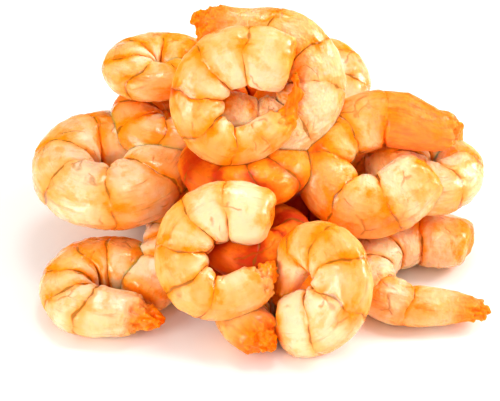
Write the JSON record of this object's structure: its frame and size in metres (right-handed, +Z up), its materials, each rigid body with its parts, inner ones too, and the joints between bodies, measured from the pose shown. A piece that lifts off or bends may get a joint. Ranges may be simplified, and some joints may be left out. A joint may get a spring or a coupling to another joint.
{
  "type": "peeled shrimp heap",
  "caption": "Heap of cooked peeled shrimp, each a curled body of orange and cream flesh with a blunt cut where the head was and a tapering tail.",
  "frame": {"origin": "on the surface that the heap lies on, under the middle of its bounding box", "axes": "+Z up, the heap's front faces -Y, +X to the right as seen from the front"},
  "size_m": [0.1419, 0.1129, 0.0773],
  "materials": {
    "shrimp_flesh": "moist cooked flesh, cream and orange, translucent with a wet shine"
  },
  "bodies": {
    "root": {"shrimp_left_under": "shrimp_flesh", "shrimp_low_left": "shrimp_flesh", "shrimp_low_front": "shrimp_flesh", "shrimp_low_right": "shrimp_flesh", "shrimp_low_back_left": "shrimp_flesh", "shrimp_low_back": "shrimp_flesh", "shrimp_low_back_right": "shrimp_flesh", "shrimp_low_middle": "shrimp_flesh", "shrimp_low_inner": "shrimp_flesh", "shrimp_core": "shrimp_flesh", "shrimp_inner_left": "shrimp_flesh", "shrimp_inner_right": "shrimp_flesh", "shrimp_front_right": "shrimp_flesh", "shrimp_back_left": "shrimp_flesh", "shrimp_back": "shrimp_flesh", "shrimp_back_right": "shrimp_flesh", "shrimp_right_back": "shrimp_flesh", "shrimp_left": "shrimp_flesh", "shrimp_middle": "shrimp_flesh", "shrimp_front": "shrimp_flesh", "shrimp_right": "shrimp_flesh", "shrimp_back_middle": "shrimp_flesh", "shrimp_left_back_under": "shrimp_flesh", "shrimp_left_back": "shrimp_flesh", "shrimp_top_right_back": "shrimp_flesh", "shrimp_top_back": "shrimp_flesh", "shrimp_top": "shrimp_flesh"}
  },
  "joints": []
}
